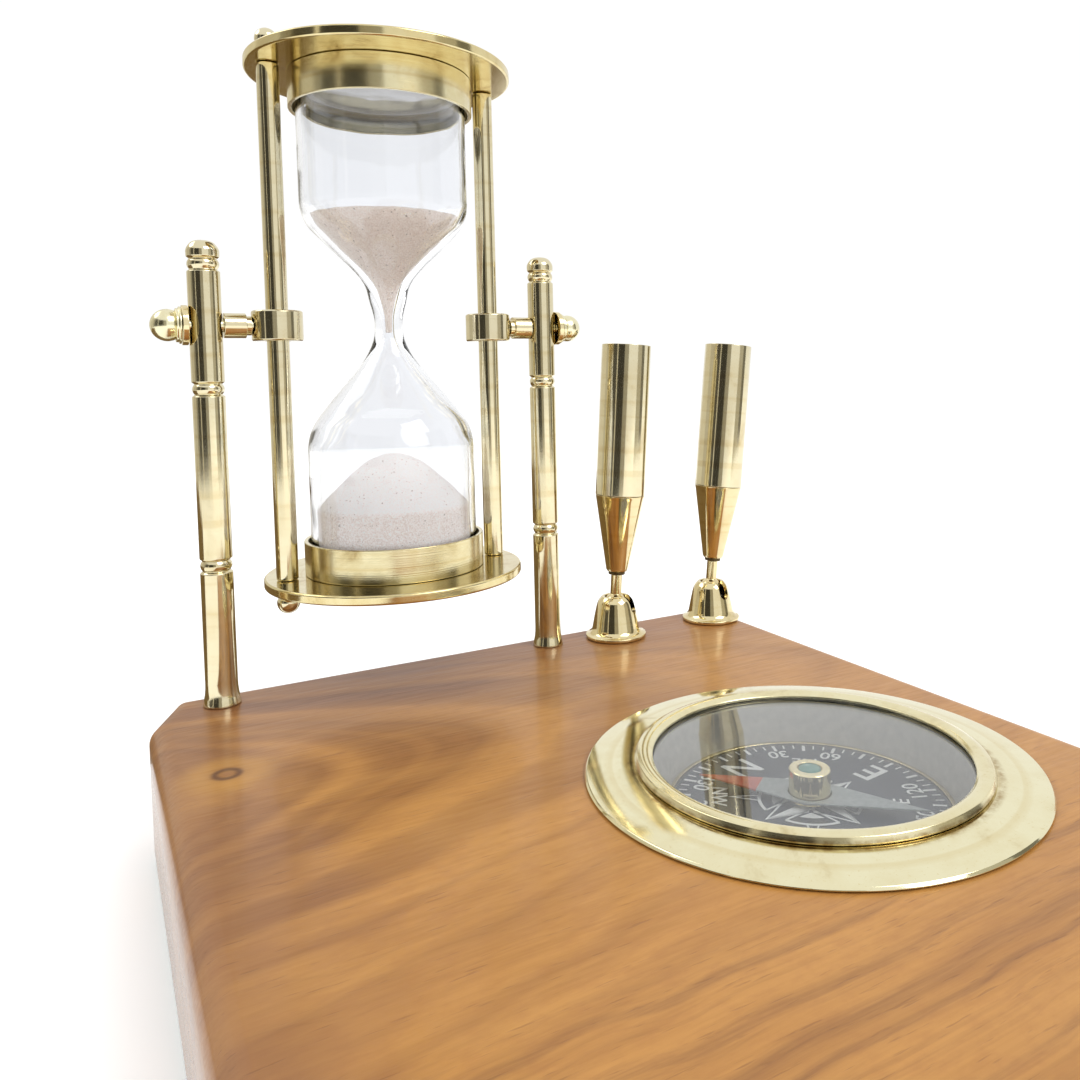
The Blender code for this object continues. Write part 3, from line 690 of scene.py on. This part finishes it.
def make_base(looks):
    low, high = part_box("wooden_base")
    bottom, top = low.z / MM, high.z / MM
    levels = [(bottom, 0.5, 0.5), (bottom + 0.5, 0.0, CORNER_ROUND), (bottom + 0.7, 0.0, CORNER_ROUND)]
    steps = 14
    levels.append((top - EDGE_ROUND - 0.2, 0.0, CORNER_ROUND))
    for i in range(steps + 1):
        angle = pi / 2 * i / steps
        inset = EDGE_ROUND * (1 - cos(angle))
        levels.append((top - EDGE_ROUND * (1 - sin(angle)), inset, CORNER_ROUND * (1 - 0.7 * i / steps)))
    levels.append((top, EDGE_ROUND + 0.3, 0.3 * CORNER_ROUND))
    shape = stack(base_outline(low, high), levels)
    base = finished("varnished_base", mesh_in_metres("varnished_base", shape), looks["wood"])
    case_low, case_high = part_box("compass_housing")
    pocket = (case_high.x - case_low.x) / 2 / MM + POCKET_GAP
    depth = (high.z - case_low.z) / MM + 0.3
    ground = upright("compass_housing")
    ground.translation.z = high.z
    cut(base, drill(pocket, -depth, PAST, ground))
    for side in ("left", "right"):
        axis = upright("post_" + side)
        axis.translation.z = low.z
        cut(base, drill(SHANK_HOLE, -JUST_PAST, top + PAST, axis))
        cut(base, drill(HEAD_HOLE, -JUST_PAST, HEAD_DEPTH, axis))
    for number in SLOT_DIRECTIONS:
        axis = upright(f"swivel_bell_{number}")
        axis.translation.z = high.z
        cut(base, drill(BELL_SCREW_HOLE, -BELL_SCREW_DEPTH, PAST, axis))
    stand_in(base, "wooden_base")


def make_felt(looks):
    """The felt under the base, with a slightly ragged cut edge."""
    low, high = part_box("felt_underlay")
    levels = [(low.z / MM, 0.3, 0.5), (low.z / MM + 0.4, 0.05, 0.8), (high.z / MM, 0.2, 0.5)]
    shape = stack(base_outline(low, high), levels)
    edge = [e for e in shape.edges if abs(e.verts[0].co.z - e.verts[1].co.z) < 1e-4 and e.calc_length() > 8]
    bmesh.ops.subdivide_edges(shape, edges=edge, cuts=60)
    for vertex in shape.verts:
        ragged = 0.12 * (1 + noise.noise(vertex.co * 0.5))
        vertex.co.x -= ragged * (1 if vertex.co.x > 0 else -1)
        vertex.co.y -= ragged * (1 if vertex.co.y > 0 else -1)
    felt = finished("felt_sheet", mesh_in_metres("felt_sheet", shape), looks["felt"])
    stand_in(felt, "felt_underlay")


# The hourglass.


def make_hourglass(looks):
    for side in ("left", "right"):
        axis = pivot_axis(side)
        bore = drill(BORE_RADIUS, -BORE_REACH, BORE_REACH, axis)
        turned("post_" + side, looks["brass"], holes=[bore])
        turned("post_screw_" + side, looks["steel"])
        for end in ("top", "bottom"):
            turned(f"rod_nut_{end}_{side}", looks["brass"])
        turned("rod_" + side, looks["brass"])
        clamp = upright("ring_clamp_" + side)
        low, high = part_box("ring_clamp_" + side)
        inward = Matrix.Translation((clamp.translation.x, clamp.translation.y, (low.z + high.z) / 2))
        inward = inward @ axis.to_3x3().to_4x4()
        turned("ring_clamp_" + side, looks["brass"], holes=[drill(BORE_RADIUS, 0, BORE_REACH, inward)])
        for part, look in (("pivot_spacer", "brass"), ("pivot_washer", "golden"), ("thumb_screw", "satin")):
            turned(f"{part}_{side}", looks[look], axis)
    for end in ("top", "bottom"):
        holes = []
        for side in ("left", "right"):
            rod = upright("rod_" + side)
            rod.translation.z = 0
            low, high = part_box("disc_" + end)
            holes.append(drill(ROD_HOLE, low.z / MM - JUST_PAST, high.z / MM + JUST_PAST, rod))
        turned("disc_" + end, looks["disc"], fillet=0.2, holes=holes)
        turned("collar_" + end, looks["brushed"], fillet=0.15)
        pad = turned("cushion_" + end, looks["cushion"], fillet=0.8)
    turned("glass_vial", looks["glass"], fillet=0.6)
    turned("glass_plug", looks["cork"])
    for part in ("upper", "lower"):
        roughen(turned("sand_" + part, looks["sand_" + part], fillet=0.6))


def roughen(piece):
    """Makes a heap's surface uneven by a fraction of a millimetre, always inwards from the glass."""
    for vertex in piece.data.vertices:
        place = vertex.co / MM
        lumps = noise.noise(place * 0.35) * 0.25 + noise.noise(place * 2.0) * 0.08
        if hypot(place.x, place.y) > 1:
            shrink = 1 - 0.004 * (1 + lumps)
            vertex.co.x *= shrink
            vertex.co.y *= shrink
        vertex.co.z += (lumps - 0.2) * MM * 0.5
    piece.data.update()


# The compass.


def make_compass(looks):
    looks_by_node = {
        "compass_housing": "housing_paint",
        "compass_gasket": "gasket_rubber",
        "compass_glass": "pane",
        "compass_flange": "flange",
        "compass_bezel": "bezel",
        "compass_dial": "dial_black",
        "dial_rim": "golden",
        "needle_pin": "steel",
        "needle_cap": "golden",
        "needle_jewel": "jewel_green",
    }
    for node, look in looks_by_node.items():
        turned(node, looks[look])
    make_needle(looks)
    make_print(looks)


def make_needle(looks):
    """A lozenge with a round hole and softened edges, in its own frame with north along X."""
    low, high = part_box("compass_needle")
    joint = Vector(joints["needle_turn"]["pos_m"])
    reach = (high - low).length / 2 / MM - NEEDLE_END_GAP
    steps = 16
    tips = [(reach, 0), (0, NEEDLE_HALF_WIDTH), (-reach, 0), (0, -NEEDLE_HALF_WIDTH)]
    outline = []
    for start, end in zip(tips, tips[1:] + tips[:1]):
        outline += [tuple(Vector(start).lerp(Vector(end), i / steps)) for i in range(steps)]
    angles = [2 * pi * i / (4 * steps) for i in range(4 * steps)]
    rim = [(NEEDLE_HOLE * cos(a), NEEDLE_HOLE * sin(a)) for a in angles]
    bottom, top = (low.z - joint.z) / MM, (high.z - joint.z) / MM
    shape = bmesh.new()
    rows = []
    levels = [(outline, bottom, NEEDLE_FACE_SHARE), (outline, bottom + NEEDLE_EDGE, 1)]
    levels += [(outline, top - NEEDLE_EDGE, 1), (outline, top, NEEDLE_FACE_SHARE)]
    levels += [(rim, top, 1), (rim, bottom, 1)]
    for points, z, share in levels:
        rows.append([shape.verts.new((x * share, y * share, z)) for x, y in points])
    for row, following in zip(rows, rows[1:] + rows[:1]):
        for i, vertex in enumerate(row):
            j = (i + 1) % len(row)
            shape.faces.new((vertex, row[j], following[j], following[i]))
    place = Matrix.Translation(joint) @ Matrix.Rotation(radians(NEEDLE_BEARING), 4, "Z")
    mesh = mesh_in_metres("lozenge_needle", shape)
    needle = finished("lozenge_needle", mesh, looks["needle_paint"], place, 30)
    stand_in(needle, "compass_needle")


def around(radius, bearing):
    """A point on the dial, in millimetres from its centre."""
    angle = radians(DIAL_NORTH - bearing)
    return Vector((radius * cos(angle), radius * sin(angle)))


def ribbon(points, width, closed=False):
    """The quads of a flat line drawn along a path."""
    points = [Vector(point) for point in points]
    count = len(points)
    sides = []
    for i, point in enumerate(points):
        before = point - points[i - 1] if closed or i > 0 else points[i + 1] - point
        after = points[(i + 1) % count] - point if closed or i < count - 1 else before
        normal = (before.normalized() + after.normalized()).normalized().orthogonal()
        stretch = 1 / max(0.35, abs(normal.dot(after.normalized().orthogonal())))
        sides.append((point + normal * width / 2 * stretch, point - normal * width / 2 * stretch))
    pairs = list(zip(sides, sides[1:]))
    if closed:
        pairs.append((sides[-1], sides[0]))
    return [(a[0], a[1], b[1], b[0]) for a, b in pairs]


def printed(name, polygons, looks):
    """Flat shapes printed on the dial, each a thin closed prism."""
    low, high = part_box("compass_dial")
    shape = bmesh.new()
    for polygon in polygons:
        face = shape.faces.new([shape.verts.new((point[0], point[1], PRINT_LIFT)) for point in polygon])
        top = bmesh.ops.extrude_face_region(shape, geom=[face])["geom"]
        raised = [v for v in top if isinstance(v, bmesh.types.BMVert)]
        bmesh.ops.translate(shape, vec=(0, 0, PRINT_HEIGHT), verts=raised)
    centre = Matrix.Translation(((low.x + high.x) / 2, (low.y + high.y) / 2, high.z))
    piece = finished(name, mesh_in_metres(name, shape), looks["print"], centre, 30)
    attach(piece, "base")
    return piece


def make_ticks():
    polygons = []
    for bearing in range(0, 360, 5):
        main = bearing % 15 == 0
        inner = TICK_OUTER - (2.5 if main else 1.6)
        polygons += ribbon([around(inner, bearing), around(TICK_OUTER, bearing)], 0.62 if main else 0.3)
    return polygons


def make_rose():
    """A four-pointed star, with a half disc, a bow and a thin spear between its points."""
    polygons = []
    for bearing in range(0, 360, 90):
        tip, heart = around(ROSE_TIP, bearing), around(0.4, bearing)
        left, right = around(4.6, bearing - 38), around(4.6, bearing + 38)
        polygons += ribbon([heart, left, tip, right], 0.35, True)
        polygons.append([heart, left, tip])
        diagonal = bearing + 45
        bow = [around(BOW_RADIUS, diagonal + step * 5) for step in range(-6, 7)]
        polygons += ribbon(bow, 0.6)
        for side in (-30, 30):
            polygons += ribbon([around(3.4, diagonal), around(BOW_RADIUS, diagonal + side)], 0.4)
        polygons.append([around(6.9, diagonal + step * 6) for step in range(-3, 4)] + [around(4.9, diagonal)])
        spear = [around(9.4, diagonal - 6), around(SPEAR_TIP, diagonal), around(9.4, diagonal + 6)]
        polygons += ribbon(spear, 0.3)
    return polygons


def make_lettering(looks):
    """The dial's numbers and compass letters, with their tops towards its centre."""
    rows = [(str(bearing), bearing, 20.3, 3.1) for bearing in range(0, 360, 30) if bearing % 90]
    rows += [(letter, 90 * i, 18.0, 6.6) for i, letter in enumerate("NESW")]
    rows += [(name, 45 + 90 * i, 16.6, 3.0) for i, name in enumerate(("NE", "SE", "SW", "NW"))]
    low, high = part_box("compass_dial")
    centre = Vector(((low.x + high.x) / 2, (low.y + high.y) / 2, high.z))
    for text, bearing, radius, size in rows:
        curve = bpy.data.curves.new("lettering", "FONT")
        curve.body = text
        curve.size = size * FONT_SIZE_PER_HEIGHT
        curve.align_x = "CENTER"
        curve.align_y = "CENTER"
        curve.extrude = PRINT_HEIGHT / 2
        curve.offset = size * 0.012
        writing = bpy.data.objects.new("lettering", curve)
        bpy.context.scene.collection.objects.link(writing)
        bpy.context.view_layer.update()
        graph = bpy.context.evaluated_depsgraph_get()
        mesh = bpy.data.meshes.new_from_object(writing.evaluated_get(graph))
        bpy.data.objects.remove(writing)
        spot = around(radius, bearing)
        turn = Matrix.Rotation(radians(DIAL_NORTH - bearing + 90), 4, "Z")
        place = Matrix.Translation((spot.x, spot.y, PRINT_LIFT + PRINT_HEIGHT / 2)) @ turn
        mesh.transform(Matrix.Scale(MM, 4) @ place)
        piece = finished("dial_" + text, mesh, looks["print"], Matrix.Translation(centre), 30)
        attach(piece, "base")


def make_print(looks):
    printed("dial_ticks", make_ticks(), looks)
    printed("dial_rose", make_rose(), looks)
    make_lettering(looks)


# The pen holders.


def slot_cutter(number):
    """A round-ended cutter for the slot down one side of a bell."""
    _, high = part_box(f"swivel_bell_{number}")
    steps = 16
    half = SLOT_WIDTH / 2
    arch = [(half * cos(a), half * sin(a)) for a in (pi + pi * i / steps for i in range(steps + 1))]
    outline = arch + [(half, SLOT_RISE), (-half, SLOT_RISE)]
    shape = bmesh.new()
    near = shape.faces.new([shape.verts.new((0, y, z)) for y, z in outline])
    far = bmesh.ops.extrude_face_region(shape, geom=[near])["geom"]
    moved = [v for v in far if isinstance(v, bmesh.types.BMVert)]
    bmesh.ops.translate(shape, vec=(SLOT_REACH, 0, 0), verts=moved)
    axis = upright(f"swivel_bell_{number}")
    axis.translation.z = high.z - SLOT_DROP * MM
    place = axis @ Matrix.Rotation(radians(SLOT_DIRECTIONS[number]), 4, "Z")
    return finished("cutter", mesh_in_metres("cutter", shape), None, place)


def make_spring(number, looks):
    """The compression spring, wound again as a round wire."""
    node = f"swivel_spring_{number}"
    low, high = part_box(node)
    wire = 0.26
    turns, steps, sides = 2.5, 120, 12
    radius = (high.x - low.x) / 2 / MM - wire
    rise = (high.z - low.z) / MM - 2 * wire
    centre = upright(f"swivel_bell_{number}")
    centre.translation.z = low.z + wire * MM
    shape = bmesh.new()
    rows = []
    for i in range(steps + 1):
        angle = 2 * pi * turns * i / steps
        out = Vector((cos(angle), sin(angle), 0))
        middle = out * radius + Vector((0, 0, rise * i / steps))
        section = []
        for k in range(sides):
            b = 2 * pi * k / sides
            section.append(shape.verts.new(middle + (out * cos(b) + Vector((0, 0, sin(b)))) * wire))
        rows.append(section)
    for row, following in zip(rows, rows[1:]):
        for k in range(sides):
            j = (k + 1) % sides
            shape.faces.new((row[k], row[j], following[j], following[k]))
    shape.faces.new(rows[0])
    shape.faces.new(rows[-1])
    stand_in(finished(node + "_wound", mesh_in_metres(node, shape), looks["steel"], centre), node)


def make_pen_holders(looks):
    for number in SLOT_DIRECTIONS:
        axis = holder_axis(number)
        turned(f"swivel_bell_{number}", looks["golden"], holes=[slot_cutter(number)])
        turned(f"bell_plate_{number}", looks["brass"])
        turned(f"bell_screw_{number}", looks["steel"])
        turned(f"ball_seat_{number}", looks["steel"])
        make_spring(number, looks)
        parts = {"ball_stem": "golden", "neck_ring": "dark_brass", "pen_cone": "golden", "pen_tube": "brass"}
        for part, look in parts.items():
            turned(f"{part}_{number}", looks[look], axis)


# The stage.


def camera_frame():
    """The camera's right, up and backward directions."""
    level = cos(CAMERA_PITCH)
    forward = Vector((sin(CAMERA_YAW) * level, cos(CAMERA_YAW) * level, -sin(CAMERA_PITCH)))
    right = Vector((cos(CAMERA_YAW), -sin(CAMERA_YAW), 0))
    up = right.cross(forward)
    rolled = right * cos(CAMERA_ROLL) + up * sin(CAMERA_ROLL)
    raised = up * cos(CAMERA_ROLL) - right * sin(CAMERA_ROLL)
    return rolled, raised, -forward


def make_camera():
    data = bpy.data.cameras.new("camera")
    data.sensor_width = 36.0
    data.lens = CAMERA_LENS
    data.shift_x, data.shift_y = CAMERA_SHIFT
    data.clip_start = 0.005
    camera = bpy.data.objects.new("camera", data)
    bpy.context.scene.collection.objects.link(camera)
    place = Matrix.Identity(4)
    for column, direction in enumerate(camera_frame()):
        for row in range(3):
            place[row][column] = direction[row]
    place.translation = Vector(CAMERA_PLACE) * MM
    camera.matrix_world = place
    bpy.context.scene.camera = camera


def stage_look(name, colour, strength=None, glow=0.0):
    """A matt surface with a white glow, or with a strength given, one that only emits its colour."""
    material = bpy.data.materials.new(name)
    material.use_nodes = True
    shader = material.node_tree.nodes["Principled BSDF"]
    shader.inputs["Base Color"].default_value = (*colour, 1.0)
    shader.inputs["Roughness"].default_value = 0.9
    shader.inputs["Emission Strength"].default_value = glow
    if strength is not None:
        shader.inputs["Base Color"].default_value = (0.0, 0.0, 0.0, 1.0)
        shader.inputs["Specular IOR Level"].default_value = 0.0
        shader.inputs["Emission Color"].default_value = (*colour, 1.0)
        shader.inputs["Emission Strength"].default_value = strength
    return material


def card(name, start, end, low, high, colour, strength=1.0, distance=0.8):
    """A curved card that only reflections see. Its angles run from behind the camera to the viewer's right."""
    behind = pi + CAMERA_YAW
    steps = 24
    verts, faces = [], []
    for i in range(steps + 1):
        angle = behind - radians(start + (end - start) * i / steps)
        x, y = distance * sin(angle), distance * cos(angle)
        verts += [(x, y + 0.04, low), (x, y + 0.04, high)]
    for i in range(steps):
        faces.append((2 * i, 2 * i + 1, 2 * i + 3, 2 * i + 2))
    mesh = bpy.data.meshes.new(name)
    mesh.from_pydata(verts, [], faces)
    mesh.materials.append(stage_look(name, colour, strength))
    reflected_only(bpy.data.objects.new(name, mesh))


def reflected_only(made):
    """Shows a stage piece in reflections and nowhere else."""
    bpy.context.scene.collection.objects.link(made)
    made.visible_camera = False
    made.visible_diffuse = False
    made.visible_transmission = False
    made.visible_shadow = False


def softbox(name, side, height, back, size, power):
    """A square area light aimed at the object, placed by the camera's right, up and backward directions."""
    centre = Vector((0.0, 0.02, 0.09))
    right, _, behind = camera_frame()
    place = centre + right * side + Vector((0, 0, height)) + Vector((behind.x, behind.y, 0)) * back
    data = bpy.data.lights.new(name, "AREA")
    data.size = size
    data.energy = power
    light = bpy.data.objects.new(name, data)
    bpy.context.scene.collection.objects.link(light)
    turn = (centre - place).to_track_quat("-Z", "Y").to_matrix().to_4x4()
    light.matrix_world = Matrix.Translation(place) @ turn
    light.visible_camera = False


def make_stage():
    bpy.ops.mesh.primitive_circle_add(vertices=96, radius=6.0, fill_type="NGON", location=(0, 0, -FLOOR_DROP))
    floor = bpy.context.object
    floor.name = "pale_floor"
    floor.data.materials.append(stage_look("pale_floor", (0.94, 0.94, 0.935), glow=FLOOR_GLOW))
    world = bpy.data.worlds.new("soft_white")
    world.use_nodes = True
    background = world.node_tree.nodes["Background"]
    background.inputs["Color"].default_value = (1.0, 1.0, 1.0, 1.0)
    background.inputs["Strength"].default_value = 1.02
    bpy.context.scene.world = world
    softbox("key_light", 1.1, 1.3, 0.7, 1.0, 14.0)
    softbox("fill_light", -1.3, 0.9, -0.2, 1.0, 6.0)
    for number, (start, end, level) in enumerate(ROOM_BANDS):
        card(f"room_{number}", start, end, 0.0, ROOM_HEIGHT, [level * share for share in ROOM_TONE])
    mesh = bpy.data.meshes.new("dark_table")
    mesh.from_pydata([(x, y, 0.0002) for x, y in TABLE_CORNERS], [], [(0, 1, 2, 3)])
    mesh.materials.append(stage_look("dark_table", TABLE_TONE, 1.0))
    reflected_only(bpy.data.objects.new("dark_table", mesh))
    # The photo's white background is clipped, so whites keep their full level here.
    bpy.context.scene.view_settings.view_transform = "Standard"


def main():
    looks = make_looks()
    make_base(looks)
    make_felt(looks)
    make_hourglass(looks)
    make_compass(looks)
    make_pen_holders(looks)
    make_stage()
    make_camera()
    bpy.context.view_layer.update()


main()
